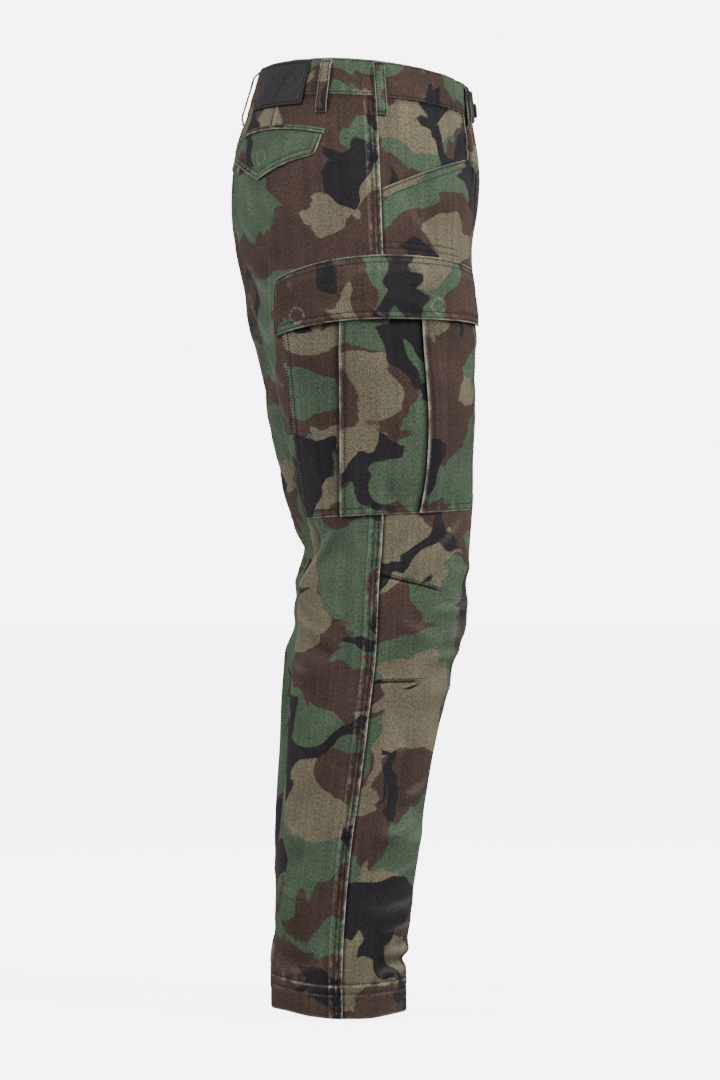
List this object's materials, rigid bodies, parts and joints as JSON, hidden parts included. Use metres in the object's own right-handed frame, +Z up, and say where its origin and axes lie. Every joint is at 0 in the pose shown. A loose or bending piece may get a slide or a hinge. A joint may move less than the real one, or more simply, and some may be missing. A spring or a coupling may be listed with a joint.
{
  "type": "cargo pants",
  "caption": "Worn-shape cotton twill cargo pants with pleated thigh pockets, pointed back pocket flaps, curved hand pockets, belt loops and open waist and hems.",
  "frame": {"origin": "middle of the waist opening, halfway up the waistband", "axes": "+Z up along the body, front of the garment faces -Y, wearer's left is +X"},
  "size_m": [0.4056, 0.2773, 1.0552],
  "materials": {
    "twill": "washed cotton twill printed in green, brown, tan and black patches",
    "leather": "plain black leather, slightly shiny",
    "button": "matt dark brown"
  },
  "bodies": {
    "root": {"front_panel_right": "twill", "front_panel_left": "twill", "back_panel_right": "twill", "back_panel_left": "twill", "hand_pocket_facing_right": "twill", "hand_pocket_facing_left": "twill", "thigh_pocket_right": "twill", "thigh_pocket_left": "twill", "thigh_flap_right": "twill", "thigh_flap_left": "twill", "seat_welt_right": "twill", "seat_welt_left": "twill", "seat_flap_right": "twill", "seat_flap_left": "twill", "waistband": "twill", "belt_loop_1_right": "twill", "belt_loop_1_left": "twill", "belt_loop_2_right": "twill", "belt_loop_2_left": "twill", "belt_loop_3_right": "twill", "belt_loop_3_left": "twill", "belt_loop_centre": "twill", "fly_cover": "twill", "waist_patch": "leather", "waist_button": "button"}
  },
  "joints": []
}
